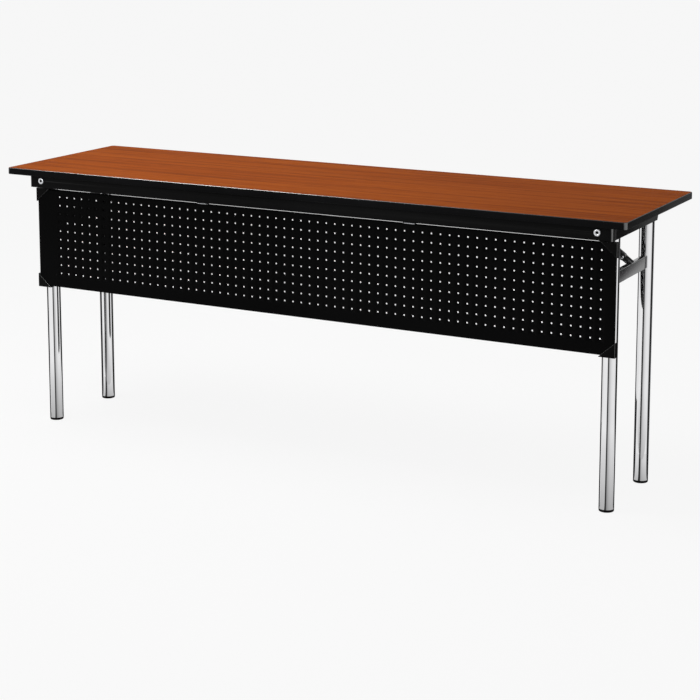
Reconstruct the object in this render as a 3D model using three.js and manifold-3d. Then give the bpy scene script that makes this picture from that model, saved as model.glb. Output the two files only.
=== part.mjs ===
// Folding-leg training table: laminated top, chrome tube legs that fold inward,
// sliding stays, and a perforated modesty panel hung on hinges.
// Millimetres, +Z up, X along the table, -Y the panel side, origin on the floor under the middle.

import * as THREE from 'three';
import { mergeGeometries, mergeVertices } from 'three/addons/utils/BufferGeometryUtils.js';
import Module from 'manifold-3d';

const wasm = await Module();
wasm.setup();

// Table top
const topLength = 1800;
const topDepth = 500;
const tableHeight = 735;
const topThickness = 18;
const laminateThickness = 0.8;
const edgeBandThickness = 2;
const topCornerRadius = 10;

// Under-frame of folded sheet
const frameSheet = 2;
const railHeight = 38;
const railDepth = 25;
const railSetback = 40;
const railCornerRadius = 5;
const endSetback = 48;
const endFlangeWidth = 45;
const endChannelTail = 30;
const endChannelSlant = 18;
const rearRailEndInset = 100;
const rearRailSetback = 75;

// Screw connectors in the front rail
const connectorInset = 38;
const connectorHeadDiameter = 17;
const connectorHeadHeight = 3;
const connectorShankDiameter = 6;
const connectorShankLength = 14;
const connectorSocketWidth = 8;
const connectorSocketDepth = 2;

// Modesty panel
const panelEndInset = 50;
const panelHeight = 275;
const panelSheet = 1.2;
const panelFlange = 10;
const panelSetback = 70;
const panelDrop = 9;
const holeDiameter = 4.4;
const holePitchX = 24.85;
const holePitchZ = 24;
const holeMarginRight = 35;
const holeMarginLeft = 74;
const holeMarginTop = 19;
const holeMarginBottom = 34;
const capWidth = 43;
const capHeight = 38;
const capLip = 4;
const capWall = 2.2;

// Panel hinges
const hingeEndInset = 544;
const hingeLeafWidth = 30;
const hingeLeafSheet = 1.2;
const hingePinDiameter = 3;
const hingeKnuckleDiameter = 6.8;
const hingeAxisBack = 4;
const hingeEarThickness = 2.5;
const hingeFootDepth = 34;

// Leg frames
const legDiameter = 38;
const legWall = 1.5;
const legSpacing = 251;
const legEndGap = 2;
const legPanelGap = 1.5;
const pivotDrop = 29;
const legTopAbovePivot = 6;
const pivotBoltDiameter = 10;
const pivotHeadDiameter = 18;
const pivotHeadHeight = 5;
const bracketSheet = 3;
const bracketWidth = 40;
const bracketEarRadius = 14;
const bracketSideGap = 0.5;
const bushLength = 34;
const footRimHeight = 7;
const footStemLength = 22;
const crossbarWidth = 15;
const crossbarHeight = 32;
const crossbarWall = 1.5;
const crossbarDrop = 125;
const crossbarOutset = 1.5;

// Folding stays
const stayAngleDegrees = 37;
const stayLength = 154;
const stayWidth = 18;
const stayDepth = 12;
const stayWall = 2;
const stayPinDiameter = 6;
const stayPinHeadDiameter = 10;
const stayPinHeadHeight = 2;
const stayPinRise = 15;
const staySideGap = 1;
const stayBarGap = 1.5;
const clevisSheet = 2;
const clevisEyeRadius = 8;
const guideSheet = 2;
const guideWall = 6;
const guideFlange = 14;

// Fits and facets
const joinGap = 0.3;
const runGap = 0.4;
const tubeSides = 20;
const plugSides = 10;
const headSides = 16;
const pinSides = 8;
const arcSteps = 4;
const cornerSteps = 2;
const holeSides = 3;
const slotSteps = 8;
const foldDegrees = 90;
const hexagon = 6;

// Levels and stations worked out from the sizes above
const legRadius = legDiameter / 2;
const topZ = tableHeight;
const undersideZ = topZ - topThickness;
const frontEdge = -topDepth / 2;
const rearEdge = topDepth / 2;
const railFront = frontEdge + railSetback;
const railBack = railFront + railDepth;
const railBottom = undersideZ - railHeight;
const frameEnd = topLength / 2 - endSetback;
const legX = frameEnd - frameSheet - legEndGap - legRadius;
const panelWidth = topLength - 2 * panelEndInset;
const panelFront = frontEdge + panelSetback;
const panelBack = panelFront + panelFlange;
const panelTop = railBottom - panelDrop;
const panelBottom = panelTop - panelHeight;
const frontLegY = panelBack + capWall + joinGap + legPanelGap + legRadius;
const rearLegY = frontLegY + legSpacing;
const pivotZ = undersideZ - pivotDrop;
const legTop = pivotZ + legTopAbovePivot;
const stayY = (frontLegY + rearLegY) / 2;
const crossbarTop = undersideZ - crossbarDrop;
const crossbarBottom = crossbarTop - crossbarHeight;
const crossbarX = legX + crossbarOutset;
const stayPinX = crossbarX - crossbarWidth / 2 - stayBarGap - stayWidth / 2;
const stayPinZ = crossbarTop + stayPinRise;
const hingeX = panelWidth / 2 - hingeEndInset;
const hingeAxisY = panelFront + hingeAxisBack;
const hingeAxisZ = panelTop + hingeKnuckleDiameter / 2 + hingeLeafSheet / 2;

// Finishes
const finish = (color, roughness, metalness) =>
  new THREE.MeshStandardMaterial({ color, roughness, metalness });
const cherryLaminate = finish(0x964b23, 0.45, 0);
const particleBoard = finish(0xb89a6e, 0.9, 0);
const backingSheet = finish(0x2a2826, 0.7, 0);
const blackEdge = finish(0x14151a, 0.45, 0);
const blackSteel = finish(0x101012, 0.5, 0.3);
const chrome = finish(0xd8d9dc, 0.12, 1);
const blackPlastic = finish(0x131314, 0.55, 0);
const zincPlate = finish(0xb4b6ba, 0.3, 1);

// Closed geometry to a solid for cutting and joining
function solid(geometry) {
  const bare = geometry.clone();
  bare.deleteAttribute('normal');
  bare.deleteAttribute('uv');
  const merged = mergeVertices(bare, 1e-4);
  const corners = merged.index.array;
  const kept = [];
  for (let i = 0; i < corners.length; i += 3) {
    const [a, b, c] = [corners[i], corners[i + 1], corners[i + 2]];
    if (a !== b && b !== c && c !== a) kept.push(a, b, c);
  }
  return new wasm.Manifold(new wasm.Mesh({
    numProp: 3,
    vertProperties: new Float32Array(merged.attributes.position.array),
    triVerts: new Uint32Array(kept),
  }));
}

function geometryOf(body) {
  const mesh = body.getMesh();
  const geometry = new THREE.BufferGeometry();
  geometry.setAttribute('position', new THREE.BufferAttribute(mesh.vertProperties, 3));
  geometry.setIndex(new THREE.BufferAttribute(mesh.triVerts, 1));
  geometry.computeVertexNormals();
  return geometry;
}

const join = (first, ...others) =>
  geometryOf(others.reduce((body, other) => body.add(solid(other)), solid(first)));
const cut = (base, ...tools) =>
  geometryOf(tools.reduce((body, tool) => body.subtract(solid(tool)), solid(base)));

// Block between two opposite corners, given in any order
function block(x0, x1, y0, y1, z0, z1) {
  const geometry = new THREE.BoxGeometry(Math.abs(x1 - x0), Math.abs(y1 - y0), Math.abs(z1 - z0));
  return geometry.translate((x0 + x1) / 2, (y0 + y1) / 2, (z0 + z1) / 2);
}

function extrusion(shape, depth) {
  return new THREE.ExtrudeGeometry(shape, { depth, bevelEnabled: false, curveSegments: cornerSteps });
}

// Outline in X and Z, raised along Y from y0 to y1
const plateXZ = (shape, y0, y1) => extrusion(shape, y1 - y0).rotateX(Math.PI / 2).translate(0, y1, 0);

// Outline in Y and Z, raised along X from x0 to x1
function plateYZ(shape, x0, x1) {
  const turn = new THREE.Matrix4().makeBasis(
    new THREE.Vector3(0, 1, 0), new THREE.Vector3(0, 0, 1), new THREE.Vector3(1, 0, 0));
  const low = Math.min(x0, x1);
  return extrusion(shape, Math.abs(x1 - x0)).applyMatrix4(turn).translate(low, 0, 0);
}

// Outline in X and Y, raised along Z from z0 to z1
const plateXY = (shape, z0, z1) => extrusion(shape, z1 - z0).translate(0, 0, z0);

function rectangle(x0, x1, y0, y1) {
  const corners = [[x0, y0], [x1, y0], [x1, y1], [x0, y1]];
  return new THREE.Shape(corners.map(([x, y]) => new THREE.Vector2(x, y)));
}

function roundedRectangle(width, height, radius) {
  const [w, h] = [width / 2, height / 2];
  const shape = new THREE.Shape();
  shape.moveTo(-w + radius, -h);
  shape.lineTo(w - radius, -h);
  shape.absarc(w - radius, -h + radius, radius, -Math.PI / 2, 0);
  shape.lineTo(w, h - radius);
  shape.absarc(w - radius, h - radius, radius, 0, Math.PI / 2);
  shape.lineTo(-w + radius, h);
  shape.absarc(-w + radius, h - radius, radius, Math.PI / 2, Math.PI);
  shape.lineTo(-w, -h + radius);
  shape.absarc(-w + radius, -h + radius, radius, Math.PI, Math.PI * 1.5);
  return shape;
}

function circlePoints(x, y, radius, from, to, steps) {
  return Array.from({ length: steps + 1 }, (_, i) => {
    const angle = from + (to - from) * i / steps;
    return new THREE.Vector2(x + radius * Math.cos(angle), y + radius * Math.sin(angle));
  });
}

// Bore whose flats stay clear of a round pin turning inside it
const boreFor = (diameter) => (diameter / 2 + runGap) / Math.cos(Math.PI / pinSides);

const roundRod = (radius, length, sides) => new THREE.CylinderGeometry(radius, radius, length, sides);
const rodAlongY = (x, z, radius, y0, y1, sides = pinSides) =>
  roundRod(radius, y1 - y0, sides).translate(x, (y0 + y1) / 2, z);
const rodAlongX = (y, z, radius, x0, x1, sides = pinSides) =>
  roundRod(radius, x1 - x0, sides).rotateZ(-Math.PI / 2).translate((x0 + x1) / 2, y, z);
const rodAlongZ = (x, y, radius, z0, z1, sides = tubeSides) =>
  roundRod(radius, z1 - z0, sides).rotateX(Math.PI / 2).translate(x, y, (z0 + z1) / 2);

// Pin along Y with a head on both ends; the heads' inner faces are at +-face
function headedPin(shankDiameter, headDiameter, headHeight, face, sides) {
  const [shank, head, end] = [shankDiameter / 2, headDiameter / 2, face + headHeight];
  const half = [[shank, face], [head, face], [head, end], [0, end]];
  const profile = [...half.map(([r, h]) => [r, -h]).reverse(), ...half];
  return new THREE.LatheGeometry(profile.map(([r, h]) => new THREE.Vector2(r, h)), sides);
}

const table = new THREE.Group();

function add(name, geometry, material) {
  const mesh = new THREE.Mesh(geometry, material);
  mesh.name = name;
  table.add(mesh);
}

// Pressed board between a wear laminate and a backing sheet, with a band round the edge
function addTop() {
  const inset = 2 * edgeBandThickness;
  const innerRadius = topCornerRadius - edgeBandThickness;
  const board = () => roundedRectangle(topLength - inset, topDepth - inset, innerRadius);
  const band = roundedRectangle(topLength, topDepth, topCornerRadius);
  band.holes.push(board());
  const coreTop = topZ - laminateThickness;
  const coreBottom = undersideZ + laminateThickness;
  add('top_laminate', plateXY(board(), coreTop, topZ), cherryLaminate);
  add('top_core', plateXY(board(), coreBottom, coreTop), particleBoard);
  add('top_backer', plateXY(board(), undersideZ, coreBottom), backingSheet);
  add('edge_band', plateXY(band, undersideZ, topZ), blackEdge);
}

const connectorX = frameEnd - connectorInset;
const connectorZ = (railBottom + undersideZ) / 2;

// Rail of folded sheet, open at the back, with the two front corners rounded in plan
function addFrontRail() {
  const r = railCornerRadius;
  const plan = new THREE.Shape();
  plan.moveTo(-frameEnd, railBack);
  plan.lineTo(-frameEnd, railFront + r);
  plan.absarc(-frameEnd + r, railFront + r, r, Math.PI, Math.PI * 1.5);
  plan.lineTo(frameEnd - r, railFront);
  plan.absarc(frameEnd - r, railFront + r, r, -Math.PI / 2, 0);
  plan.lineTo(frameEnd, railBack);
  const inside = frameEnd - frameSheet - r;
  const hollow = block(-inside, inside, railFront + frameSheet, railBack + frameSheet,
    railBottom + frameSheet, undersideZ - frameSheet);
  const boreRadius = connectorShankDiameter / 2 + joinGap;
  const bores = [-connectorX, connectorX].map((x) => rodAlongY(
    x, connectorZ, boreRadius, railFront - frameSheet, railFront + 2 * frameSheet));
  add('front_rail', cut(plateXY(plan, railBottom, undersideZ), hollow, ...bores), blackSteel);
}

// Flat round head with a hexagon socket, shank through the rail's face
function addConnectorBolt(name, x) {
  const headFront = railFront - connectorHeadHeight;
  const shankEnd = railFront + connectorShankLength;
  const head = rodAlongY(x, connectorZ, connectorHeadDiameter / 2, headFront, railFront, headSides);
  const shankStart = headFront + connectorSocketDepth;
  const shank = rodAlongY(x, connectorZ, connectorShankDiameter / 2, shankStart, shankEnd);
  const socket = rodAlongY(x, connectorZ, connectorSocketWidth / Math.sqrt(3),
    headFront - connectorSocketDepth, headFront + connectorSocketDepth, hexagon);
  add(name, cut(join(head, shank), socket), zincPlate);
}

// Folded channel behind the rear legs, open towards the front
function addRearRail() {
  const back = rearEdge - rearRailSetback;
  const front = back - railDepth;
  const half = topLength / 2 - rearRailEndInset;
  const section = new THREE.Shape([
    [front, railBottom], [back, railBottom], [back, undersideZ], [front, undersideZ],
    [front, undersideZ - frameSheet], [back - frameSheet, undersideZ - frameSheet],
    [back - frameSheet, railBottom + frameSheet], [front, railBottom + frameSheet],
  ].map(([y, z]) => new THREE.Vector2(y, z)));
  add('rear_rail', plateYZ(section, -half, half), blackSteel);
}

// Angle along each end: deep outer wall with a slanted tail, top flange against the board
function addEndChannel(name, side) {
  const tail = rearLegY + endChannelTail;
  const wall = new THREE.Shape([
    [railBack, railBottom], [tail - endChannelSlant, railBottom],
    [tail, undersideZ], [railBack, undersideZ],
  ].map(([y, z]) => new THREE.Vector2(y, z)));
  const outer = plateYZ(wall, side * (frameEnd - frameSheet), side * frameEnd);
  const flange = block(side * (frameEnd - endFlangeWidth), side * (frameEnd - frameSheet / 2),
    railBack, tail, undersideZ - frameSheet, undersideZ);
  add(name, join(outer, flange), blackSteel);
}

const flangeUnder = undersideZ - frameSheet;
const earInner = legRadius + bracketSideGap;
const earOuter = earInner + bracketSheet;

// Saddle over each leg's top: a plate under the end flange and two round-ended ears
function addLegBracket(name, side, y) {
  const x = side * legX;
  const plateUnder = flangeUnder - bracketSheet;
  const ear = new THREE.Shape([
    new THREE.Vector2(x + bracketEarRadius, plateUnder + bracketSheet / 2),
    new THREE.Vector2(x - bracketEarRadius, plateUnder + bracketSheet / 2),
    ...circlePoints(x, pivotZ, bracketEarRadius, Math.PI, 2 * Math.PI, 2 * arcSteps),
  ]);
  const half = bracketWidth / 2;
  const plate = block(x - half, x + half, y - earOuter, y + earOuter, plateUnder, flangeUnder);
  const ears = [plateXZ(ear, y - earOuter, y - earInner), plateXZ(ear, y + earInner, y + earOuter)];
  const bore = rodAlongY(x, pivotZ, boreFor(pivotBoltDiameter), y - 2 * earOuter, y + 2 * earOuter);
  add(name, cut(join(plate, ...ears), bore), blackSteel);
}

// Hexagon bolt with a nut of the same size, through both ears and the leg
function addPivotBolt(name, side, y) {
  const face = earOuter + joinGap;
  const bolt = headedPin(pivotBoltDiameter, pivotHeadDiameter, pivotHeadHeight, face, hexagon);
  add(name, bolt.translate(side * legX, y, pivotZ), zincPlate);
}

// Chrome tube with a cross bore for the pivot
function addLeg(name, side, y) {
  const x = side * legX;
  const tube = rodAlongZ(x, y, legRadius, footRimHeight, legTop);
  const inside = rodAlongZ(x, y, legRadius - legWall, footRimHeight - 1, legTop + 1);
  const bore = rodAlongY(x, pivotZ, boreFor(pivotBoltDiameter), y - legDiameter, y + legDiameter);
  add(name, cut(tube, inside, bore), chrome);
}

// Moulded plug in the leg's top that carries the pivot
function addLegBush(name, side, y) {
  const x = side * legX;
  const plug = rodAlongZ(x, y, legRadius - legWall - joinGap, legTop - bushLength, legTop, plugSides);
  const bore = rodAlongY(x, pivotZ, boreFor(pivotBoltDiameter), y - legDiameter, y + legDiameter);
  add(name, cut(plug, bore), blackPlastic);
}

// Black foot: a rim the width of the tube and a stem inside it
function addFoot(name, side, y) {
  const stem = legRadius - legWall - joinGap;
  const profile = [[0, 0], [legRadius, 0], [legRadius, footRimHeight], [stem, footRimHeight],
    [stem, footRimHeight + footStemLength], [0, footRimHeight + footStemLength]]
    .map(([r, h]) => new THREE.Vector2(r, h));
  const foot = new THREE.LatheGeometry(profile, tubeSides).rotateX(Math.PI / 2);
  add(name, foot.translate(side * legX, y, 0), blackPlastic);
}

// Rectangular tube coped to both legs
function addCrossbar(name, side) {
  const x = side * crossbarX;
  const [w, h, t] = [crossbarWidth / 2, crossbarHeight / 2, crossbarWall];
  const z = (crossbarTop + crossbarBottom) / 2;
  const bar = block(x - w, x + w, frontLegY, rearLegY, z - h, z + h);
  const inside = block(x - w + t, x + w - t, frontLegY - legRadius, rearLegY + legRadius,
    z - h + t, z + h - t);
  const legs = [frontLegY, rearLegY].map((y) => rodAlongZ(
    side * legX, y, legRadius + joinGap, crossbarBottom - legDiameter, crossbarTop + legDiameter));
  add(name, cut(bar, inside, ...legs), blackSteel);
}

const stayHalf = stayDepth / 2;
const clevisInner = stayHalf + staySideGap;
const clevisOuter = clevisInner + clevisSheet;
const guideInner = stayHalf + staySideGap;
const guideOuter = guideInner + guideSheet;
const pinBore = boreFor(stayPinDiameter);

// Foot welded on the crossbar with two ears that reach in to the stay's lower pin
function addStayClevis(name, side) {
  const outer = side * (crossbarX + crossbarWidth / 2);
  const inner = side * (crossbarX - crossbarWidth / 2);
  const footTop = crossbarTop + clevisSheet;
  const eye = circlePoints(stayPinX, stayPinZ, clevisEyeRadius, Math.PI / 2, Math.PI * 1.5, 2 * arcSteps)
    .map(({ x, y }) => new THREE.Vector2(side * x, y));
  const ear = new THREE.Shape([
    ...eye,
    new THREE.Vector2(inner, crossbarTop),
    new THREE.Vector2(outer, crossbarTop),
    new THREE.Vector2(outer, footTop + clevisSheet),
  ]);
  const foot = block(inner, outer, stayY - clevisOuter, stayY + clevisOuter, crossbarTop, footTop);
  const ears = [plateXZ(ear, stayY - clevisOuter, stayY - clevisInner),
    plateXZ(ear, stayY + clevisInner, stayY + clevisOuter)];
  const bore = rodAlongY(side * stayPinX, stayPinZ, pinBore,
    stayY - 2 * clevisOuter, stayY + 2 * clevisOuter);
  add(name, cut(join(foot, ...ears), bore), blackSteel);
}

// Headed pin across the stay, its heads just clear of the plates on both sides
function addStayPin(name, x, z) {
  const face = clevisOuter + joinGap;
  const pin = headedPin(stayPinDiameter, stayPinHeadDiameter, stayPinHeadHeight, face, pinSides);
  add(name, pin.translate(x, stayY, z), zincPlate);
}

// Where the stay's upper pin is when the leg has folded by a given angle.
// The stay lies down in step with the leg, from its standing angle to level.
function upperPinAt(fold) {
  const [inset, drop] = [legX - stayPinX, pivotZ - stayPinZ];
  const tilt = THREE.MathUtils.degToRad(stayAngleDegrees) * (1 - fold / (foldDegrees * Math.PI / 180));
  return new THREE.Vector2(
    legX - inset * Math.cos(fold) - drop * Math.sin(fold) - stayLength * Math.cos(tilt),
    pivotZ + inset * Math.sin(fold) - drop * Math.cos(fold) + stayLength * Math.sin(tilt));
}

// Channel arm with round ends, open underneath
function addStayArm(name, side) {
  const top = upperPinAt(0);
  const low = new THREE.Vector2(stayPinX, stayPinZ);
  const half = stayWidth / 2;
  const outline = new THREE.Shape([
    ...circlePoints(0, 0, half, -Math.PI / 2, Math.PI / 2, 2 * arcSteps),
    ...circlePoints(-stayLength, 0, half, Math.PI / 2, Math.PI * 1.5, 2 * arcSteps),
  ]);
  const inside = block(-stayLength - stayWidth, stayWidth, -stayHalf + stayWall, stayHalf - stayWall,
    -stayWidth, half - stayWall);
  const bores = [0, -stayLength].map((x) => rodAlongY(x, 0, pinBore, -stayDepth, stayDepth));
  const arm = cut(plateXZ(outline, -stayHalf, stayHalf), inside, ...bores);
  arm.rotateY(Math.atan2(top.y - low.y, low.x - top.x));
  if (side < 0) arm.rotateZ(Math.PI);
  add(name, arm.translate(side * stayPinX, stayY, stayPinZ), blackSteel);
}

// Two slotted cheeks under a flange: the slot is the upper pin's own path
function addStayGuide(name, side) {
  const reach = foldDegrees * Math.PI / 180;
  const path = Array.from({ length: slotSteps + 1 }, (_, i) => upperPinAt(reach * i / slotSteps));
  const headings = path.map((_, i) => {
    const [before, after] = [path[Math.max(i - 1, 0)], path[Math.min(i + 1, slotSteps)]];
    return Math.atan2(after.y - before.y, after.x - before.x);
  });
  const edge = (turn) => path.map((p, i) => new THREE.Vector2(
    p.x + pinBore * Math.cos(headings[i] + turn), p.y + pinBore * Math.sin(headings[i] + turn)));
  const round = (i, from) => circlePoints(path[i].x, path[i].y, pinBore,
    headings[i] + from, headings[i] + from - Math.PI, arcSteps).slice(1, -1);
  const slot = [...edge(Math.PI / 2), ...round(slotSteps, Math.PI / 2),
    ...edge(-Math.PI / 2).reverse(), ...round(0, -Math.PI / 2)];
  const low = Math.min(...path.map((p) => p.x)) - pinBore - guideWall;
  const high = Math.max(...path.map((p) => p.x)) + pinBore + guideWall;
  const mirror = ({ x, y }) => new THREE.Vector2(side * x, y);
  const cheek = rectangle(side * low, side * high, railBottom, undersideZ - guideSheet / 2);
  cheek.holes.push(new THREE.Path(slot.map(mirror)));
  const reachY = guideOuter + guideFlange;
  const flange = block(side * low, side * high, stayY - reachY, stayY + reachY,
    undersideZ - guideSheet, undersideZ);
  const cheeks = [plateXZ(cheek, stayY - guideOuter, stayY - guideInner),
    plateXZ(cheek, stayY + guideInner, stayY + guideOuter)];
  add(name, join(flange, ...cheeks), blackSteel);
}

// Perforated sheet with a flange turned back on all four sides
function addPanel() {
  const half = panelWidth / 2;
  const columns = 1 + Math.floor((panelWidth - holeMarginLeft - holeMarginRight) / holePitchX);
  const rows = 1 + Math.floor((panelHeight - holeMarginTop - holeMarginBottom) / holePitchZ);
  const turn = 2 * Math.PI / holeSides;
  const sharpRadius = holeDiameter / 2 * Math.sqrt(turn / Math.sin(turn));
  const punches = [];
  for (let column = 0; column < columns; column += 1) {
    for (let row = 0; row < rows; row += 1) {
      const x = half - holeMarginRight - column * holePitchX;
      const z = panelTop - holeMarginTop - row * holePitchZ;
      const [y0, y1] = [panelFront - panelSheet, panelFront + 2 * panelSheet];
      punches.push(rodAlongY(x, z, sharpRadius, y0, y1, holeSides));
    }
  }
  const tray = block(-half, half, panelFront, panelBack, panelBottom, panelTop);
  const hollow = block(-half + panelSheet, half - panelSheet,
    panelFront + panelSheet, panelBack + panelSheet, panelBottom + panelSheet, panelTop - panelSheet);
  add('modesty_panel', cut(tray, hollow, mergeGeometries(punches)), blackSteel);
}

// Moulded pocket over a corner of the panel, cut off on the slant
function addCornerCap(name, side, upper) {
  const cornerX = side * (panelWidth / 2 + capLip);
  const cornerZ = upper > 0 ? panelTop + capWall : panelBottom - capLip;
  const outline = new THREE.Shape([
    new THREE.Vector2(cornerX, cornerZ),
    new THREE.Vector2(cornerX - side * capWidth, cornerZ),
    new THREE.Vector2(cornerX, cornerZ - upper * capHeight),
  ]);
  const pocket = block(side * (panelWidth / 2 + joinGap), 0, panelFront - joinGap, panelBack + joinGap,
    panelBottom - joinGap, panelTop + joinGap);
  const cap = plateXZ(outline, panelFront - capWall, panelBack + capWall);
  add(name, cut(cap, pocket), blackPlastic);
}

const hingeBore = boreFor(hingePinDiameter);

// Knuckle with a short leaf that lies on the panel's upper flange
function addHingeLeaf(name, x) {
  const [x0, x1] = [x - hingeLeafWidth / 2, x + hingeLeafWidth / 2];
  const leaf = block(x0, x1, panelFront, panelBack, panelTop, panelTop + hingeLeafSheet);
  const knuckle = rodAlongX(hingeAxisY, hingeAxisZ, hingeKnuckleDiameter / 2, x0, x1);
  const bore = rodAlongX(hingeAxisY, hingeAxisZ, hingeBore, x0 - 1, x1 + 1);
  add(name, cut(join(leaf, knuckle), bore), zincPlate);
}

const hingeEarInner = hingeLeafWidth / 2 + joinGap;
const hingeEarOuter = hingeEarInner + hingeEarThickness;

// Foot under the board and two ears that come down behind the rail to the hinge pin
function addHingeBracket(name, x) {
  const r = hingeKnuckleDiameter / 2;
  const ear = new THREE.Shape([
    new THREE.Vector2(hingeAxisY + r, undersideZ - frameSheet / 2),
    new THREE.Vector2(hingeAxisY - r, undersideZ - frameSheet / 2),
    ...circlePoints(hingeAxisY, hingeAxisZ, r, Math.PI, 2 * Math.PI, 2 * arcSteps),
  ]);
  const foot = block(x - hingeEarOuter, x + hingeEarOuter, hingeAxisY - r, hingeAxisY - r + hingeFootDepth,
    undersideZ - frameSheet, undersideZ);
  const ears = [-1, 1].map((hand) => plateYZ(ear, x + hand * hingeEarInner, x + hand * hingeEarOuter));
  const bore = rodAlongX(hingeAxisY, hingeAxisZ, hingeBore, x - 2 * hingeEarOuter, x + 2 * hingeEarOuter);
  add(name, cut(join(foot, ...ears), bore), blackSteel);
}

function addHingePin(name, x) {
  const reach = hingeEarOuter + joinGap;
  add(name, rodAlongX(hingeAxisY, hingeAxisZ, hingePinDiameter / 2, x - reach, x + reach), zincPlate);
}

const sides = [['left', -1], ['right', 1]];

addTop();
addFrontRail();
addRearRail();
addPanel();
for (const [hand, side] of sides) {
  addConnectorBolt(`${hand}_connector_bolt`, side * connectorX);
  addEndChannel(`${hand}_end_channel`, side);
  addStayGuide(`${hand}_stay_guide`, side);
  for (const [end, y] of [['front', frontLegY], ['rear', rearLegY]]) {
    addLegBracket(`${hand}_${end}_leg_bracket`, side, y);
    addPivotBolt(`${hand}_${end}_pivot_bolt`, side, y);
    addLeg(`${hand}_${end}_leg`, side, y);
    addLegBush(`${hand}_${end}_leg_bush`, side, y);
    addFoot(`${hand}_${end}_foot`, side, y);
  }
  addCrossbar(`${hand}_crossbar`, side);
  addStayClevis(`${hand}_stay_clevis`, side);
  addStayPin(`${hand}_stay_lower_pin`, side * stayPinX, stayPinZ);
  addStayArm(`${hand}_stay_arm`, side);
  addStayPin(`${hand}_stay_upper_pin`, side * upperPinAt(0).x, upperPinAt(0).y);
  addCornerCap(`${hand}_upper_cap`, side, 1);
  addCornerCap(`${hand}_lower_cap`, side, -1);
  addHingeLeaf(`${hand}_hinge_leaf`, side * hingeX);
  addHingeBracket(`${hand}_hinge_bracket`, side * hingeX);
  addHingePin(`${hand}_hinge_pin`, side * hingeX);
}

export default table;
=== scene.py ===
"""Looks of a folding-leg training table: cherry laminate top, black steel, chrome tube legs."""

import math

import bmesh
import bpy
from mathutils import Matrix, Vector


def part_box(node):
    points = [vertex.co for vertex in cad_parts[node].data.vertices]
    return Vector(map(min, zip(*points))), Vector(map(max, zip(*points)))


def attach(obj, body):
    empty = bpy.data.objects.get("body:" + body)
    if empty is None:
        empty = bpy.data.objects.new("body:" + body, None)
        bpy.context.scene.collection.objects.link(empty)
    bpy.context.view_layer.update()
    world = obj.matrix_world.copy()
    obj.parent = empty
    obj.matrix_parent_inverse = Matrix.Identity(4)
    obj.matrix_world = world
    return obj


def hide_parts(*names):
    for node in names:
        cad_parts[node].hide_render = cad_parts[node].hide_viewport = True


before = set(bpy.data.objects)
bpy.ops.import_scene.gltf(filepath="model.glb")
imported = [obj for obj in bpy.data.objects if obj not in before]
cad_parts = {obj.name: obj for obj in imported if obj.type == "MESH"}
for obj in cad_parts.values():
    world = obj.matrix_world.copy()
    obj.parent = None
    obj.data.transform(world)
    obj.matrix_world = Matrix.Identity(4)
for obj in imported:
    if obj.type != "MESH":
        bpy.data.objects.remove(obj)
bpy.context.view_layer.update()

MM = 0.001
HANDS = ("left", "right")
ENDS = ("front", "rear")
BLACK, WHITE = (0, 0, 0), (1, 1, 1)


# Scene helpers

def add(name, data):
    """A new object in the scene."""
    made = bpy.data.objects.new(name, data)
    bpy.context.scene.collection.objects.link(made)
    return made


def paint(mesh, finish):
    """Gives a mesh one material in place of any that it had."""
    mesh.materials.clear()
    mesh.materials.append(finish)


def place(name, mesh, finish, body, slot, *nodes):
    """Puts a piece in the scene on its body, in place of the CAD nodes that it stands for."""
    piece = add(name, mesh)
    paint(mesh, finish)
    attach(piece, body)
    if nodes:
        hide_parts(*nodes)
    return piece


def middle_of(name):
    """The middle of a CAD node's box."""
    low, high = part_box(name)
    return (low + high) / 2


# Mesh helpers

WELD_DISTANCE = 0.01 * MM
FLAT_ANGLE = math.radians(0.5)
SHARP_ANGLE = math.radians(25)
FACING_FRONT = Matrix.Rotation(-math.pi / 2, 3, "X")


def mesh_of(name, bm, smooth_angle=35):
    """Closes a bmesh into a mesh with smooth shading up to the given angle, in degrees."""
    bmesh.ops.recalc_face_normals(bm, faces=bm.faces)
    mesh = bpy.data.meshes.new(name)
    bm.to_mesh(mesh)
    bm.free()
    mesh.shade_smooth()
    mesh.set_sharp_from_angle(angle=math.radians(smooth_angle))
    return mesh


def soften(bm, width, segments=2):
    """Rounds every sharp edge."""
    sharp = [e for e in bm.edges if len(e.link_faces) == 2 and e.calc_face_angle() > SHARP_ANGLE]
    bmesh.ops.bevel(bm, geom=sharp, offset=width, offset_type="OFFSET", segments=segments,
                    profile=0.5, affect="EDGES", clamp_overlap=True)


def rounded_copy(name, width, segments=2):
    """The CAD node's own shape with its facets merged and its edges broken."""
    bm = bmesh.new()
    bm.from_mesh(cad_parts[name].data)
    bmesh.ops.remove_doubles(bm, verts=bm.verts, dist=WELD_DISTANCE)
    bmesh.ops.dissolve_limit(bm, angle_limit=FLAT_ANGLE, verts=bm.verts, edges=bm.edges)
    soften(bm, width, segments)
    return mesh_of(name + "_skin", bm)


def move(bm, to, turn=None):
    """Turns a form about the origin, where a turn is given, and moves it to its place."""
    if turn is not None:
        bmesh.ops.rotate(bm, verts=bm.verts, matrix=turn)
    bmesh.ops.translate(bm, verts=bm.verts, vec=to)


def arc(centre, radius, start, end, steps):
    """Points on an arc, angles in degrees."""
    angles = [math.radians(start + (end - start) * i / steps) for i in range(steps + 1)]
    return [(centre[0] + radius * math.cos(a), centre[1] + radius * math.sin(a)) for a in angles]


def circle(centre, radius, sides, start=0):
    """Points round a circle, once each, from the given angle in degrees."""
    return arc(centre, radius, start, start + 360, sides)[:-1]


def rounded_rectangle(width, depth, radius, steps):
    """Points round a rectangle with round corners, anticlockwise."""
    w, d = width / 2 - radius, depth / 2 - radius
    corners = ((w, -d, -90), (w, d, 0), (-w, d, 90), (-w, -d, 180))
    return [p for x, y, start in corners for p in arc((x, y), radius, start, start + 90, steps)]


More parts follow.
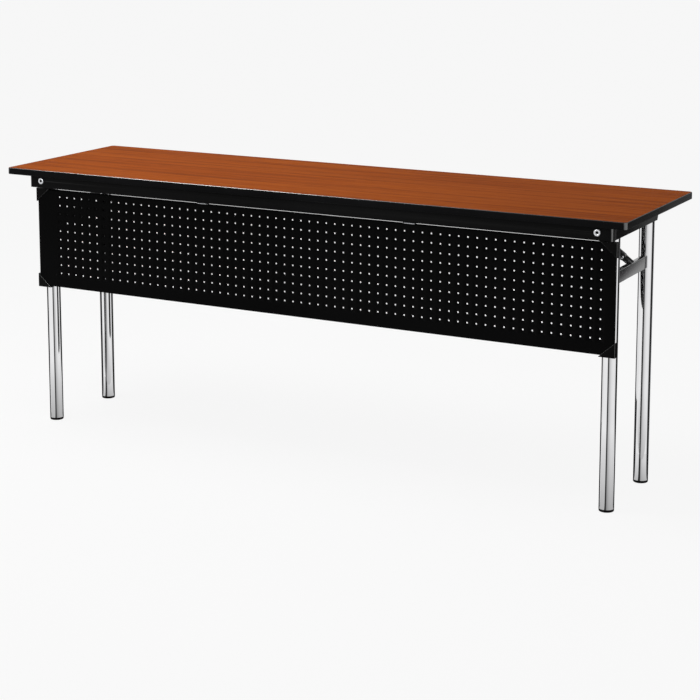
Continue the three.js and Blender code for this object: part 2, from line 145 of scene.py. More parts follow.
def level(bm, outline, z):
    """The points of an outline in plan, at one height."""
    return [bm.verts.new((x, y, z)) for x, y in outline]


def skinned(bm, rings, closed=False):
    """Skins rings of equal count, each closed on itself; closed joins the last ring to the first."""
    count = len(rings[0])
    pairs = list(zip(rings, rings[1:]))
    if closed:
        pairs.append((rings[-1], rings[0]))
    for low, high in pairs:
        for i in range(count):
            j = (i + 1) % count
            bm.faces.new((low[i], low[j], high[j], high[i]))


def capped(bm, rings):
    """Skins rings and closes the first and the last."""
    skinned(bm, rings)
    bm.faces.new(rings[0])
    bm.faces.new(rings[-1])


def turned(profile, sides, closed=False):
    """A lathe form about Z from (radius, height) pairs; an open profile is capped at both ends."""
    bm = bmesh.new()
    rings = [level(bm, circle((0, 0), radius, sides), height) for radius, height in profile]
    if closed:
        skinned(bm, rings, closed=True)
    else:
        capped(bm, rings)
    return bm


# Shader helpers

def material(name):
    """A new material with its node tree and its shader."""
    made = bpy.data.materials.new(name)
    made.use_nodes = True
    return made, made.node_tree, made.node_tree.nodes["Principled BSDF"]


def node(tree, kind, **settings):
    """A new node with the given settings."""
    made = tree.nodes.new(kind)
    for key, value in settings.items():
        setattr(made, key, value)
    return made


def ramp(tree, factor, stops):
    """A colour ramp with (place, colour) stops."""
    made = node(tree, "ShaderNodeValToRGB")
    elements = made.color_ramp.elements
    while len(elements) < len(stops):
        elements.new(0.5)
    for element, (where, colour) in zip(elements, stops):
        element.position = where
        element.color = (*colour, 1)
    tree.links.new(factor, made.inputs["Fac"])
    return made.outputs["Color"]


def maths(tree, operation, *factors):
    """A maths node on the given outputs."""
    made = node(tree, "ShaderNodeMath", operation=operation)
    for factor, socket in zip(factors, made.inputs):
        tree.links.new(factor, socket)
    return made


def mixed_colours(tree, share, first, second, blend="MIX"):
    """Two colours in one, with the given share of the second."""
    made = node(tree, "ShaderNodeMix", data_type="RGBA", blend_type=blend)
    made.inputs["Factor"].default_value = share
    tree.links.new(first, made.inputs["A"])
    tree.links.new(second, made.inputs["B"])
    return made.outputs["Result"]


def mixed_shaders(tree, factor, first, second):
    """The first shader where the factor is 0, the second where it is 1."""
    made = node(tree, "ShaderNodeMixShader")
    for socket, source in zip(made.inputs, (factor, first, second)):
        tree.links.new(source, socket)
    return made.outputs["Shader"]


def vary_gloss(tree, shader, factor, least, most):
    """Roughness between two values, as the factor goes from 0 to 1."""
    gloss = node(tree, "ShaderNodeMapRange")
    gloss.inputs["To Min"].default_value = least
    gloss.inputs["To Max"].default_value = most
    tree.links.new(factor, gloss.inputs["Value"])
    tree.links.new(gloss.outputs["Result"], shader.inputs["Roughness"])


def fine_grain_group():
    """Fine pebbling for coats and mouldings: a height for bump and a mask for gloss."""
    group = bpy.data.node_groups.new("fine_grain", "ShaderNodeTree")
    group.interface.new_socket("Scale", in_out="INPUT", socket_type="NodeSocketFloat")
    group.interface.new_socket("Height", in_out="OUTPUT", socket_type="NodeSocketFloat")
    group.interface.new_socket("Cloud", in_out="OUTPUT", socket_type="NodeSocketFloat")
    inward = node(group, "NodeGroupInput")
    outward = node(group, "NodeGroupOutput")
    where = node(group, "ShaderNodeTexCoord")
    pebbles = node(group, "ShaderNodeTexNoise")
    pebbles.inputs["Detail"].default_value = 3
    pebbles.inputs["Roughness"].default_value = 0.6
    cloud = node(group, "ShaderNodeTexNoise")
    cloud.inputs["Scale"].default_value = 9
    cloud.inputs["Detail"].default_value = 4
    for texture in (pebbles, cloud):
        group.links.new(where.outputs["Object"], texture.inputs["Vector"])
    group.links.new(inward.outputs["Scale"], pebbles.inputs["Scale"])
    group.links.new(pebbles.outputs["Fac"], outward.inputs["Height"])
    group.links.new(cloud.outputs["Fac"], outward.inputs["Cloud"])
    return group


FINE_GRAIN = fine_grain_group()


def fine_grain(tree, scale):
    """The fine grain's outputs at the given scale."""
    grain = node(tree, "ShaderNodeGroup", node_tree=FINE_GRAIN)
    grain.inputs["Scale"].default_value = scale
    return grain.outputs


# Finishes

GLOSS_SPREAD = 0.08
PEBBLE_HEIGHT = 0.2 * MM
CLOUD_FROM, CLOUD_TO = 0.3, 0.7
LIP_COAT = (0.3, 0.3, 0.3)
LINES_SHARE = 0.48


def grained(name, colour, roughness, specular, pebble, bump, metallic=0.0, vary=0.25):
    """A coat or moulding: one colour with faint clouding, pebbled gloss and a fine bump."""
    made, tree, shader = material(name)
    grain = fine_grain(tree, pebble)
    dark = [c * (1 - vary) for c in colour]
    light = [min(1, c * (1 + vary)) for c in colour]
    shade = ramp(tree, grain["Cloud"], ((CLOUD_FROM, dark), (CLOUD_TO, light)))
    tree.links.new(shade, shader.inputs["Base Color"])
    vary_gloss(tree, shader, grain["Cloud"], roughness - GLOSS_SPREAD, roughness + GLOSS_SPREAD)
    relief = node(tree, "ShaderNodeBump")
    relief.inputs["Strength"].default_value = bump
    relief.inputs["Distance"].default_value = PEBBLE_HEIGHT
    tree.links.new(grain["Height"], relief.inputs["Height"])
    tree.links.new(relief.outputs["Normal"], shader.inputs["Normal"])
    shader.inputs["Metallic"].default_value = metallic
    shader.inputs["Specular IOR Level"].default_value = specular
    return made


def buffed(made, lip_from=0.35):
    """Clear coat where a black piece turns: thin on its upper arris, full on its upright corners."""
    tree = made.node_tree
    shader = tree.nodes["Principled BSDF"]
    surface = node(tree, "ShaderNodeNewGeometry")
    normal = node(tree, "ShaderNodeSeparateXYZ")
    tree.links.new(surface.outputs["Normal"], normal.inputs["Vector"])
    lip = ramp(tree, normal.outputs["Z"], (
        (lip_from, BLACK), (lip_from + 0.15, LIP_COAT), (0.9, LIP_COAT), (0.98, BLACK)))
    across = maths(tree, "MULTIPLY", normal.outputs["X"], normal.outputs["Y"])
    turning = maths(tree, "ABSOLUTE", across.outputs[0])
    corner = ramp(tree, turning.outputs[0], ((0.15, BLACK), (0.4, WHITE)))
    shiny = maths(tree, "MAXIMUM", lip, corner)
    tree.links.new(shiny.outputs[0], shader.inputs["Coat Weight"])
    shader.inputs["Coat IOR"].default_value = 2.2
    shader.inputs["Coat Roughness"].default_value = 0.25
    return made


def cherry_laminate():
    """Printed cherry grain along X: broad figure, fine streaks and short dark pores."""
    made, tree, shader = material("cherry_laminate")
    where = node(tree, "ShaderNodeTexCoord")

    def streaks(along, across, detail, distortion):
        """Noise drawn out along the grain."""
        stretch = node(tree, "ShaderNodeMapping")
        stretch.inputs["Scale"].default_value = (along, across, 1)
        tree.links.new(where.outputs["Object"], stretch.inputs["Vector"])
        noise = node(tree, "ShaderNodeTexNoise")
        noise.inputs["Scale"].default_value = 1
        noise.inputs["Detail"].default_value = detail
        noise.inputs["Distortion"].default_value = distortion
        tree.links.new(stretch.outputs["Vector"], noise.inputs["Vector"])
        return noise.outputs["Fac"]

    broad = streaks(along=0.9, across=24, detail=5, distortion=0.7)
    fine = streaks(along=1.8, across=95, detail=4, distortion=0.25)
    short = streaks(along=16, across=500, detail=2, distortion=0.0)
    figure = ramp(tree, broad, (
        (0.32, (0.272, 0.055, 0.006)), (0.5, (0.315, 0.067, 0.008)), (0.7, (0.352, 0.080, 0.010))))
    lines = ramp(tree, fine, (
        (0.38, (0.143, 0.026, 0.002)), (0.49, (0.311, 0.066, 0.008)), (0.64, (0.402, 0.095, 0.013))))
    pores = ramp(tree, short, ((0.56, WHITE), (0.7, (0.6, 0.52, 0.45))))
    grain = mixed_colours(tree, LINES_SHARE, figure, lines)
    coloured = mixed_colours(tree, 1, grain, pores, "MULTIPLY")
    tree.links.new(coloured, shader.inputs["Base Color"])
    vary_gloss(tree, shader, fine, 0.4, 0.55)
    shader.inputs["Specular IOR Level"].default_value = 0.002
    return made


def chrome_plate():
    """Polished plate with faint cloudy polish marks."""
    made, tree, shader = material("chrome_plate")
    cloud = fine_grain(tree, scale=400)["Cloud"]
    tone = ramp(tree, cloud, ((CLOUD_FROM, (0.80, 0.80, 0.81)), (CLOUD_TO, (0.86, 0.86, 0.87))))
    tree.links.new(tone, shader.inputs["Base Color"])
    vary_gloss(tree, shader, cloud, 0.03, 0.07)
    shader.inputs["Metallic"].default_value = 1
    shader.inputs["Specular Tint"].default_value = (0.04, 0.04, 0.05, 1)
    return made


POWDER = {"colour": (0.002, 0.002, 0.0022),
          "roughness": 0.5, "specular": 0.06, "pebble": 1400, "bump": 0.12}

CHERRY = cherry_laminate()
CHROME = chrome_plate()
EDGE = buffed(grained("black_edge_band", (0.005, 0.005, 0.0055),
                      roughness=0.4, specular=0.03, pebble=700, bump=0.03))
COAT = grained("black_powder_coat", **POWDER)
RAIL_COAT = buffed(grained("black_rail_coat", **POWDER))
PANEL_COAT = grained("matt_black_panel_coat", (0.0015, 0.0015, 0.0016),
                     roughness=0.6, specular=0.03, pebble=1400, bump=0.1)
GLOSS_COAT = grained("glossy_black_coat", (0.05, 0.05, 0.052),
                     roughness=0.11, specular=1.0, pebble=1200, bump=0.03)
MOULDING = grained("black_moulding", (0.003, 0.003, 0.003),
                   roughness=0.45, specular=0.1, pebble=500, bump=0.06)
CAP = buffed(grained("black_cap_moulding", (0.002, 0.002, 0.002),
                     roughness=0.45, specular=0.05, pebble=500, bump=0.06), lip_from=0.1)
# Painted shade: a dark finish for the bottom of a bolt's hexagon socket, where the recess falls into
# shade
SOCKET_PAINTED_SHADE = grained("painted_shade_socket", (0.004, 0.004, 0.004),
                roughness=0.7, specular=0.1, pebble=900, bump=0.1)
ZINC = grained("bright_zinc", (0.62, 0.63, 0.65),
               roughness=0.28, specular=0.5, pebble=600, bump=0.02, metallic=1.0, vary=0.08)
BOARD = grained("pressed_board", (0.45, 0.31, 0.17),
                roughness=0.85, specular=0.2, pebble=350, bump=0.4)
BACKER = grained("dark_backing_sheet", (0.022, 0.021, 0.02),
                 roughness=0.65, specular=0.2, pebble=700, bump=0.08)


# Table top

TOP_CORNER = 10 * MM
TOP_CORNER_STEPS = 10
EDGE_THICKNESS = 2 * MM
EDGE_ROLL = 1.9 * MM
EDGE_ROLL_STEPS = 5


def top_laminate():
    """Printed sheet, inside the edge band."""
    low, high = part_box("top_laminate")
    corner = TOP_CORNER - EDGE_THICKNESS
    outline = rounded_rectangle(high.x - low.x, high.y - low.y, corner, TOP_CORNER_STEPS)
    bm = bmesh.new()
    capped(bm, [level(bm, outline, z) for z in (low.z, high.z)])
    mesh = mesh_of("laminate_sheet", bm)
    place("laminate_sheet", mesh, CHERRY, "frame", "cherry_laminate", "top_laminate")


def edge_band():
    """Band round the board with rolled outer edges."""
    low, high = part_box("edge_band")
    width, depth = high.x - low.x, high.y - low.y
    roll = EDGE_ROLL
    lower = [(roll - x, low.z + roll - y) for x, y in arc((0, 0), roll, 90, 0, EDGE_ROLL_STEPS)]
    upper = [(roll - x, high.z - roll + y) for x, y in arc((0, 0), roll, 0, 90, EDGE_ROLL_STEPS)]
    section = [(EDGE_THICKNESS, low.z), *lower, *upper, (EDGE_THICKNESS, high.z)]
    bm = bmesh.new()
    rings = []
    for inset, z in section:
        corner = TOP_CORNER - inset
        outline = rounded_rectangle(width - 2 * inset, depth - 2 * inset, corner, TOP_CORNER_STEPS)
        rings.append(level(bm, outline, z))
    skinned(bm, rings, closed=True)
    place("rolled_edge_band", mesh_of("rolled_edge_band", bm), EDGE, "frame", "black_edge", "edge_band")


def board():
    """Board and backing sheet, in their CAD shapes."""
    for name, finish in (("top_core", BOARD), ("top_backer", BACKER)):
        paint(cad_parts[name].data, finish)


# Modesty panel

HOLE_COLUMNS, HOLE_ROWS = 65, 10
HOLE_PITCH_X, HOLE_PITCH_Z = 24.85 * MM, 24 * MM
HOLE_RADIUS = 2.2 * MM
HOLE_MARGIN_RIGHT, HOLE_MARGIN_TOP = 35 * MM, 19 * MM
HOLE_SIDES = 16
PANEL_SHEET = 1.2 * MM
PANEL_BEND = 1.8 * MM
CAP_ROUNDING = 0.8 * MM


def punched_cell(bm, corners, centre, y):
    """One cell of the sheet with a round hole in its middle."""
    quarter = HOLE_SIDES // 4
    rim = [bm.verts.new((x, y, z)) for x, z in circle(centre, HOLE_RADIUS, HOLE_SIDES, start=-135)]
    for k in range(4):
        stretch = [rim[(k * quarter + s) % HOLE_SIDES] for s in range(quarter + 1)]
        bm.faces.new([corners[k], corners[(k + 1) % 4], *reversed(stretch)])


def turned_back(bm, grid, depth):
    """Flanges: the rim of the sheet carried straight back."""
    rim = [column[0] for column in grid] + grid[-1][1:]
    rim += [column[-1] for column in reversed(grid[:-1])] + list(reversed(grid[0][1:-1]))
    behind = [bm.verts.new((v.co.x, v.co.y + depth, v.co.z)) for v in rim]
    skinned(bm, [rim, behind])


def panel():
    """Sheet with round punched holes and a flange turned back on all four sides."""
    low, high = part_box("modesty_panel")
    right = high.x - HOLE_MARGIN_RIGHT + HOLE_PITCH_X / 2
    top = high.z - HOLE_MARGIN_TOP + HOLE_PITCH_Z / 2
    lines_x = [low.x, *(right - HOLE_PITCH_X * i for i in range(HOLE_COLUMNS, -1, -1)), high.x]
    lines_z = [low.z, *(top - HOLE_PITCH_Z * i for i in range(HOLE_ROWS, -1, -1)), high.z]
    bm = bmesh.new()
    grid = [[bm.verts.new((x, low.y, z)) for z in lines_z] for x in lines_x]
    for i in range(len(lines_x) - 1):
        for j in range(len(lines_z) - 1):
            corners = [grid[i][j], grid[i + 1][j], grid[i + 1][j + 1], grid[i][j + 1]]
            if 1 <= i <= HOLE_COLUMNS and 1 <= j <= HOLE_ROWS:
                centre = (lines_x[i] + HOLE_PITCH_X / 2, lines_z[j] + HOLE_PITCH_Z / 2)
                punched_cell(bm, corners, centre, low.y)
            else:
                bm.faces.new(corners)
    turned_back(bm, grid, high.y - low.y)
    mesh = mesh_of("punched_panel", bm)
    piece = place("punched_panel", mesh, PANEL_COAT, "panel", "black_steel", "modesty_panel")
    bend = piece.modifiers.new("bend", "BEVEL")
    bend.width = PANEL_BEND
    bend.segments = 3
    bend.angle_limit = math.radians(60)
    thickness = piece.modifiers.new("thickness", "SOLIDIFY")
    thickness.thickness = PANEL_SHEET
    thickness.offset = -1


def corner_caps():
    """Moulded caps on the corners of the panel."""
    for hand in HANDS:
        for height in ("upper", "lower"):
            name = f"{hand}_{height}_cap"
            mesh = rounded_copy(name, CAP_ROUNDING, 3)
            place(name + "_moulded", mesh, CAP, "panel", "black_plastic", name)


# Frame of folded sheet

def folded_sheet():
    """Rails, end channels and brackets, with their edges rounded by widths in millimetres."""
    widths = {"front_rail": 0.9, "rear_rail": 0.5}
    for hand in HANDS:
        widths[f"{hand}_end_channel"] = 0.6
        widths[f"{hand}_stay_guide"] = 0.4
        widths[f"{hand}_hinge_bracket"] = 0.4
        for end in ENDS:
            widths[f"{hand}_{end}_leg_bracket"] = 0.5
    for name, width in widths.items():
        coat = RAIL_COAT if name == "front_rail" else COAT
        place(name + "_coated", rounded_copy(name, width * MM), coat, "frame", "black_steel", name)


# Bolts and screws

HEAD_SIDES = 48
HEAD_SMOOTH_ANGLE = 30
SOCKET_SIDES = 6
SHEET_FLANGE = 2 * MM


def round_ring(bm, radius, depth):
    """A ring of points about Z, at the given depth under the origin."""
    return level(bm, circle((0, 0), radius, HEAD_SIDES), -depth)


def hexagon_ring(bm, radius, depth):
    """A ring like round_ring, drawn in to a hexagon with corners at the given radius."""
    ring = round_ring(bm, radius, depth)
    for i, point in enumerate(ring):
        wedge = 2 * math.pi * i / HEAD_SIDES % (math.pi / 3) - math.pi / 6
        inward = math.cos(math.pi / 6) / math.cos(wedge)
        point.co.x *= inward
        point.co.y *= inward
    return ring


def connector_bolts():
    """Flat head with a rounded rim and a hexagon socket, with painted shade at its bottom: a dark disc
    set in the recess.
    """
    head, socket = 3 * MM, 4.2 * MM
    for hand in HANDS:
        name = f"{hand}_connector_bolt"
        low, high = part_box(name)
        middle = middle_of(name)
        radius = (high.x - low.x) / 2
        bm = bmesh.new()
        capped(bm, (
            round_ring(bm, radius, 0),
            round_ring(bm, radius, head - 0.9 * MM),
            round_ring(bm, radius - 0.3 * MM, head - 0.3 * MM),
            round_ring(bm, radius - 0.9 * MM, head),
            round_ring(bm, socket + 1.0 * MM, head - 0.1 * MM),
            hexagon_ring(bm, socket + 0.3 * MM, head - 0.4 * MM),
            hexagon_ring(bm, socket, head - 0.8 * MM),
            hexagon_ring(bm, socket, head - 2.1 * MM),
            round_ring(bm, 0.4 * MM, head - 2.5 * MM)))
        move(bm, (middle.x, low.y + head, middle.z), FACING_FRONT)
        mesh = mesh_of(name + "_head", bm, HEAD_SMOOTH_ANGLE)
        place(name + "_head", mesh, ZINC, "frame", "zinc_plate", name)
        # A dark disc at the bottom of the socket: painted shade in the recess
        bottom = turned((
            (socket * 0.8, 0), (socket * 0.86, 0.2 * MM), (socket * 0.8, 0.4 * MM)), SOCKET_SIDES)
        move(bottom, (middle.x, low.y + 1.6 * MM, middle.z), FACING_FRONT)
        place(name + "_socket", mesh_of(name + "_socket", bottom), SOCKET_PAINTED_SHADE, "frame", "zinc_plate")


def screw_seats():
    """Where the screws go through the folded sheet, in plan."""
    guide_inset_x, guide_inset_y = 12 * MM, 7 * MM
    bracket_half_pitch, bracket_inset = 9 * MM, 10 * MM
    channel_half_pitch, channel_inset = 50 * MM, 5 * MM
    rail_pitch, rail_set_forward = 340 * MM, 3 * MM
    seats = []
    for hand in HANDS:
        low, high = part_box(f"{hand}_stay_guide")
        for x in (low.x + guide_inset_x, high.x - guide_inset_x):
            seats += [(x, low.y + guide_inset_y), (x, high.y - guide_inset_y)]
        bracket = f"{hand}_hinge_bracket"
        x, y = middle_of(bracket).x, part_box(bracket)[1].y - bracket_inset
        seats += [(x - bracket_half_pitch, y), (x + bracket_half_pitch, y)]
        channel_x = middle_of(f"{hand}_end_channel").x
        x, y = channel_x - math.copysign(channel_inset, channel_x), middle_of(f"{hand}_crossbar").y
        seats += [(x, y - channel_half_pitch), (x, y + channel_half_pitch)]
    rail_y = middle_of("rear_rail").y - rail_set_forward
    return seats + [(i * rail_pitch, rail_y) for i in range(-2, 3)]


def underside_screws():
    """Hexagon washer-head screws that hold the folded sheet to the board."""
    washer, head = 6.5 * MM, 4.6 * MM
    seat_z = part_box("rear_rail")[1].z - SHEET_FLANGE
    bm = bmesh.new()
    for x, y in screw_seats():
        before = len(bm.verts)
        capped(bm, (
            round_ring(bm, washer, 0),
            round_ring(bm, washer, 0.7 * MM),
            round_ring(bm, 5 * MM, 1.2 * MM),
            hexagon_ring(bm, head, 1.3 * MM),
            hexagon_ring(bm, head, 3.7 * MM),
            hexagon_ring(bm, 4.2 * MM, 4.2 * MM)))
        bm.verts.ensure_lookup_table()
        bmesh.ops.translate(bm, verts=bm.verts[before:], vec=(x, y, seat_z))
    mesh = mesh_of("underside_screws", bm, HEAD_SMOOTH_ANGLE)
    place("underside_screws", mesh, ZINC, "frame", "zinc_plate")


# Leg frames

TUBE_SIDES = 96
TUBE_WALL = 1.5 * MM
TUBE_ROUNDING = 0.4 * MM
FOOT_SIDES = 64
FOOT_PLAY = 0.3 * MM
CROSSBAR_CORNER = 2.5 * MM
CROSSBAR_CORNER_STEPS = 5
COPE_GAP = 0.3 * MM
STAY_ROUNDING = 0.4 * MM
PIN_SIDES = 32
PIN_SHANK, PIN_CHEEK = 3 * MM, 2 * MM
BOLT_ROUNDING = 0.5 * MM
HINGE_ROUNDING = 0.3 * MM


def tube_of(leg):
    """A leg's place in plan, and its radius."""
    low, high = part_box(leg)
    return (low.x + high.x) / 2, (low.y + high.y) / 2, (high.x - low.x) / 2


def legs():
    """Chrome tubes with a foot plug below and a bush above."""
    for hand in HANDS:
        body = f"{hand}_leg_frame"
        for end in ENDS:
            leg, foot = f"{hand}_{end}_leg", f"{hand}_{end}_foot"
            x, y, radius = tube_of(leg)
            bore = radius - TUBE_WALL
            bottom, top = (corner.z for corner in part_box(leg))
            wall = ((radius, bottom), (radius, top), (bore, top), (bore, bottom))
            tube = turned(wall, TUBE_SIDES, closed=True)
            soften(tube, TUBE_ROUNDING)
            move(tube, (x, y, 0))
            place(leg + "_plated", mesh_of(leg, tube), CHROME, body, "chrome_tube", leg)
            stem, stem_top = bore - FOOT_PLAY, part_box(foot)[1].z
            plug = turned((
                (radius - 2.2 * MM, 0),
                (radius - 0.9 * MM, 0.3 * MM),
                (radius - 0.2 * MM, 1.2 * MM),
                (radius, bottom - 0.5 * MM),
                (radius - 0.4 * MM, bottom),
                (stem, bottom),
                (stem, stem_top)), FOOT_SIDES)
            move(plug, (x, y, 0))
            place(foot + "_plug", mesh_of(foot, plug), MOULDING, body, "black_plastic", foot)
            paint(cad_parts[leg + "_bush"].data, MOULDING)


def crossbars():
    """Rectangular tube with round corners, its ends shaped to the legs."""
    for hand in HANDS:
        name = f"{hand}_crossbar"
        low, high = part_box(name)
        middle = middle_of(name)
        outline = rounded_rectangle(
            high.x - low.x, high.z - low.z, CROSSBAR_CORNER, CROSSBAR_CORNER_STEPS)
        bm = bmesh.new()
        rings = []
        for end, way in (("front", 1), ("rear", -1)):
            leg_x, leg_y, radius = tube_of(f"{hand}_{end}_leg")
            ring = []
            for x, z in outline:
                across = middle.x + x
                cope = math.sqrt((radius + COPE_GAP) ** 2 - (across - leg_x) ** 2)
                ring.append(bm.verts.new((across, leg_y + way * cope, middle.z + z)))
            rings.append(ring)
        capped(bm, rings)
        mesh = mesh_of(name + "_tube", bm)
        place(name + "_tube", mesh, GLOSS_COAT, f"{hand}_leg_frame", "black_steel", name)


def stays():
    """Folding stays and the clevises that hold them."""
    for hand in HANDS:
        for part, body in (("clevis", "leg_frame"), ("arm", "stay")):
            name = f"{hand}_stay_{part}"
            mesh = rounded_copy(name, STAY_ROUNDING)
            place(name + "_coated", mesh, GLOSS_COAT, f"{hand}_{body}", "black_steel", name)


def domed_pin(name):
    """A pin along Y with a domed head at both ends."""
    low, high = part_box(name)
    head, half = (high.x - low.x) / 2, (high.y - low.y) / 2
    under = half - PIN_CHEEK
    side = [
        (PIN_SHANK, under),
        (head - 0.3 * MM, under),
        (head, under + 0.3 * MM),
        (head - 0.4 * MM, half - 0.9 * MM),
        (head - 1.6 * MM, half - 0.25 * MM),
        (0.5 * MM, half)]
    bm = turned([(r, -h) for r, h in reversed(side)] + side, PIN_SIDES)
    move(bm, middle_of(name), FACING_FRONT)
    return mesh_of(name, bm)


def pins():
    """Domed pins across the stays, hexagon pivot bolts, and hinge leaves on plain pins."""
    for hand in HANDS:
        for end, body in (("lower", "leg_frame"), ("upper", "stay")):
            name = f"{hand}_stay_{end}_pin"
            place(name + "_domed", domed_pin(name), ZINC, f"{hand}_{body}", "zinc_plate", name)
        for end in ENDS:
            name = f"{hand}_{end}_pivot_bolt"
            place(name + "_hex", rounded_copy(name, BOLT_ROUNDING), ZINC, "frame", "zinc_plate", name)
        for part, body in (("leaf", "panel"), ("pin", "frame")):
            name = f"{hand}_hinge_{part}"
            place(name + "_plated", rounded_copy(name, HINGE_ROUNDING), ZINC, body, "zinc_plate", name)


top_laminate()
edge_band()
board()
panel()
corner_caps()
folded_sheet()
connector_bolts()
underside_screws()
legs()
crossbars()
stays()
pins()


# Camera, at the photograph's viewing angle

LOOKS_DOWN, LOOKS_LEFT = math.radians(8.931), math.radians(28.089)

camera_data = bpy.data.cameras.new("camera")
camera_data.sensor_width = 36
camera_data.lens = 93.33
camera_data.shift_y = -0.25
camera = add("camera", camera_data)
camera.location = (2.2755, -4.1836, 1.4942)
camera.rotation_euler = (math.pi / 2 - LOOKS_DOWN, 0, LOOKS_LEFT)
bpy.context.scene.camera = camera


# Studio

PAPER_SEEN = 0.938
SOFT_LIGHT = 0.46
FLOOR_HALF = 30
FLOOR_SHADE = 0.85
FLOOR_GLOW, FLOOR_GLOW_SHARE = 0.995, 0.89


def area_light(name, at, aim, size, watts, lights_surfaces=True):
    """A soft box; one that doesn't light surfaces shows only in shiny ones."""
    data = bpy.data.lights.new(name, "AREA")
    data.shape = "RECTANGLE"
    data.size, data.size_y = size
    data.energy = watts
    lamp = add(name, data)
    lamp.location = at
    lamp.rotation_euler = (Vector(aim) - Vector(at)).to_track_quat("-Z", "Y").to_euler()
    lamp.visible_diffuse = lights_surfaces


def grey(shade):
    """An opaque grey."""
    return (shade, shade, shade, 1)


def any_ray(tree, *rays):
    """1 for a ray of any of the named kinds."""
    path = node(tree, "ShaderNodeLightPath")
    total = path.outputs[rays[0]]
    for ray in rays[1:]:
        total = maths(tree, "MAXIMUM", total, path.outputs[ray]).outputs[0]
    return total


def studio_world():
    """White paper where it is seen or mirrored, and soft light on surfaces."""
    world = bpy.data.worlds.new("studio")
    world.use_nodes = True
    tree = world.node_tree
    paper = tree.nodes["Background"]
    soft = node(tree, "ShaderNodeBackground")
    for background, shade in ((paper, PAPER_SEEN), (soft, SOFT_LIGHT)):
        background.inputs["Color"].default_value = grey(shade)
    seen = any_ray(tree, "Is Camera Ray", "Is Glossy Ray", "Is Transmission Ray")
    whole = mixed_shaders(tree, seen, soft.outputs["Background"], paper.outputs["Background"])
    tree.links.new(whole, tree.nodes["World Output"].inputs["Surface"])
    bpy.context.scene.world = world


def floor():
    """Pale paper floor that keeps a part of its shading where it is seen."""
    bm = bmesh.new()
    bmesh.ops.create_grid(bm, x_segments=1, y_segments=1, size=FLOOR_HALF)
    mesh = mesh_of("floor", bm)
    made, tree, shader = material("paper_floor")
    shader.inputs["Base Color"].default_value = grey(FLOOR_SHADE)
    shader.inputs["Roughness"].default_value = 0.9
    shader.inputs["Specular IOR Level"].default_value = 0
    glow = node(tree, "ShaderNodeEmission")
    glow.inputs["Color"].default_value = grey(FLOOR_GLOW)
    seen = any_ray(tree, "Is Camera Ray", "Is Glossy Ray", "Is Transmission Ray")
    share = maths(tree, "MULTIPLY", seen)
    share.inputs[1].default_value = FLOOR_GLOW_SHARE
    whole = mixed_shaders(tree, share.outputs[0], shader.outputs["BSDF"], glow.outputs["Emission"])
    tree.links.new(whole, tree.nodes["Material Output"].inputs["Surface"])
    paint(mesh, made)
    add("floor", mesh)


# Glowing cards seen only in mirrored rays: painted reflections that show as dark lines down the chrome
# tubes, with painted shade towards the feet

FLAG_STEPS = 48
FLAG_INNER = 20 * MM
FLAG_LIFT, PAIR_LIFT = 0.8 * MM, 0.6 * MM
FAR_REACH, FAR_HEIGHT = 0.9, 0.7
PAIR_REACH = 0.262
SIDES_REACH, LINE_REACH, NEAR_HEIGHT = 0.05, 0.15, 0.55
FADE_START, FADE_END = 0.055, 0.78
# Painted shade: the reflections darken to these shares of themselves at the foot of a front or rear leg
FRONT_NEAR_SHADE, PAIR_NEAR_SHADE = 0.55, 0.65
PAIR_HALF_SPAN, PAIR_OUTER_SHADE = 100, 0.85

# Shades of the painted reflection round a leg, as (bearing in degrees from the way the card faces,
# shade) pairs in order
FRONT_AHEAD = ((-100, 0.97), (-26, 0.97), (-22, 0.03), (-8, 0.03), (-4, 0.4), (10, 0.68), (35, 0.88),
               (65, 0.95), (100, 0.9))
FRONT_SIDES = ((-82, 0.02), (-40, 0.02), (-36, 0.85), (36, 0.85), (40, 0.02), (82, 0.02))
REAR_BEHIND = ((-96, 0.8), (-86, 0.02), (-43, 0.02), (-39, 0.95), (-28, 0.95), (-20, 0.45), (38, 0.45),
               (45, 0.02), (86, 0.02), (91, 0.85))
# The same, from the bearing of the front leg of the pair
PAIR_MIDDLE = ((-14, 0.85), (-12, 0.03), (12, 0.03), (16, 0.5), (30, 0.68), (55, 0.76))
PAIR_LINE = ((-9, 0.03), (9, 0.03))


def painted_reflection_finish(name, shades, reach, near_shade):
    """Painted reflection: shades round the leg, which fade along the reach to near_shade of themselves
    at the leg, a painted shade towards the foot.
    """
    made, tree, shader = material(name)
    where = node(tree, "ShaderNodeTexCoord")
    turn = node(tree, "ShaderNodeTexGradient", gradient_type="RADIAL")
    away = node(tree, "ShaderNodeTexGradient", gradient_type="SPHERICAL")
    for texture in (turn, away):
        tree.links.new(where.outputs["Object"], texture.inputs["Vector"])
    # One turn of the gradient goes from 0 to 1, with the way the card faces at 0.5
    round_leg = ramp(tree, turn.outputs["Fac"], [(b / 360 + 0.5, (v, v, v)) for b, v in shades])
    # The other gradient goes from 1 at the leg to 0 a metre away
    fade = ramp(tree, away.outputs["Fac"], (
        (1 - FADE_END * reach, WHITE), (1 - FADE_START * reach, [near_shade] * 3)))
    both = mixed_colours(tree, 1, round_leg, fade, "MULTIPLY")
    # The card glows with these shades, though it is no lamp: a painted reflection on the chrome
    tree.links.new(both, shader.inputs["Emission Color"])
    shader.inputs["Emission Strength"].default_value = 1
    shader.inputs["Base Color"].default_value = grey(0)
    shader.inputs["Specular IOR Level"].default_value = 0
    return made


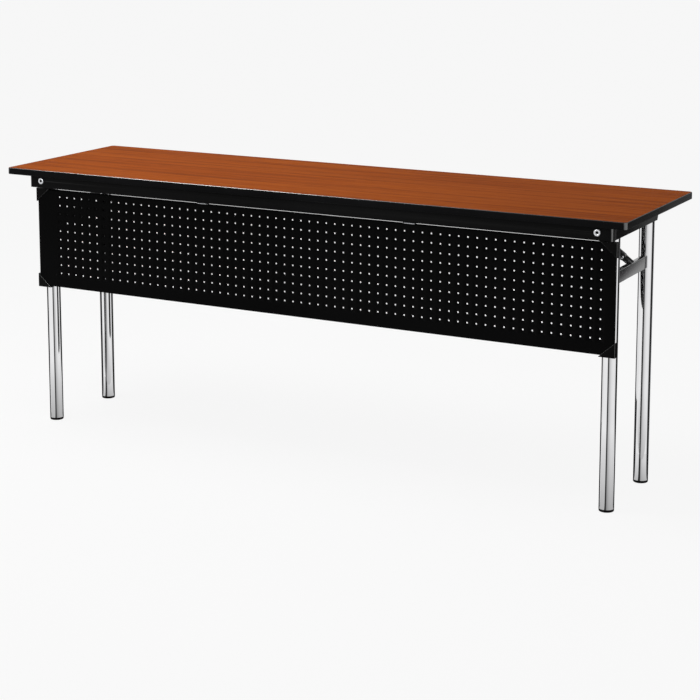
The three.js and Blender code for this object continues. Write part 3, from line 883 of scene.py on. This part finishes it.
def painted_reflection_card(name, foot, facing, shades, reach, height=0.0, near_shade=1.0, lift=FLAG_LIFT):
    """A glowing card for mirrored rays only, lying on the floor round a leg and standing up at its far
    end: a painted reflection.
    """
    profile = [(FLAG_INNER, lift), (reach, lift)] + ([(reach, height)] if height else [])
    start, end = shades[0][0], shades[-1][0]
    bm = bmesh.new()
    rows = [level(bm, arc((0, 0), radius, start, end, FLAG_STEPS), z) for radius, z in profile]
    for near_row, far_row in zip(rows, rows[1:]):
        for i in range(FLAG_STEPS):
            bm.faces.new((near_row[i], near_row[i + 1], far_row[i + 1], far_row[i]))
    mesh = mesh_of(name, bm)
    paint(mesh, painted_reflection_finish(name, shades, reach, near_shade))
    card = add(name, mesh)
    card.location = (*foot, 0)
    card.rotation_euler = (0, 0, facing)
    card.visible_camera = False
    card.visible_diffuse = False
    card.visible_shadow = False
    card.visible_transmission = False


def painted_leg_reflections():
    """Painted reflections: one dark line off the middle of each tube, and one along each side.

    A rear leg's middle line lies towards the front leg of its pair.
    """
    for hand in HANDS:
        for end in ENDS:
            *foot, _ = tube_of(f"{hand}_{end}_leg")
            facing = math.atan2(camera.location.y - foot[1], camera.location.x - foot[0])
            name = f"{hand}_{end}_flag"
            if end == "front":
                painted_reflection_card(name, foot, facing, FRONT_AHEAD, FAR_REACH, FAR_HEIGHT, near_shade=FRONT_NEAR_SHADE)
                painted_reflection_card(name + "_behind", foot, facing + math.pi, FRONT_SIDES, SIDES_REACH, NEAR_HEIGHT)
            else:
                # The front leg stands straight ahead of the rear one, along -Y
                partner = math.degrees(-math.pi / 2 - facing)
                middle = [(-PAIR_HALF_SPAN, PAIR_OUTER_SHADE)]
                middle += [(partner + b, v) for b, v in PAIR_MIDDLE]
                middle.append((PAIR_HALF_SPAN, PAIR_OUTER_SHADE))
                line = [(partner + b, v) for b, v in PAIR_LINE]
                painted_reflection_card(name, foot, facing, middle, PAIR_REACH, near_shade=PAIR_NEAR_SHADE, lift=PAIR_LIFT)
                painted_reflection_card(name + "_line", foot, facing, line, LINE_REACH, NEAR_HEIGHT)
                painted_reflection_card(name + "_behind", foot, facing + math.pi, REAR_BEHIND, FAR_REACH, FAR_HEIGHT)


studio_world()
floor()
painted_leg_reflections()
area_light("key", at=(-0.8, -0.4, 2.5), aim=(-0.5, -0.1, 0.7), size=(1.3, 1.2), watts=25.5)
area_light("front_card", at=(-0.8, -2.9, 1.6), aim=(-0.85, -0.18, 0.4), size=(0.6, 0.6), watts=24,
           lights_surfaces=False)
area_light("strip", at=(-1.6, -0.4, 2.7), aim=(-0.9, -0.2, 0.7), size=(1.3, 1.0), watts=190,
           lights_surfaces=False)

bpy.context.scene.view_settings.view_transform = "Standard"
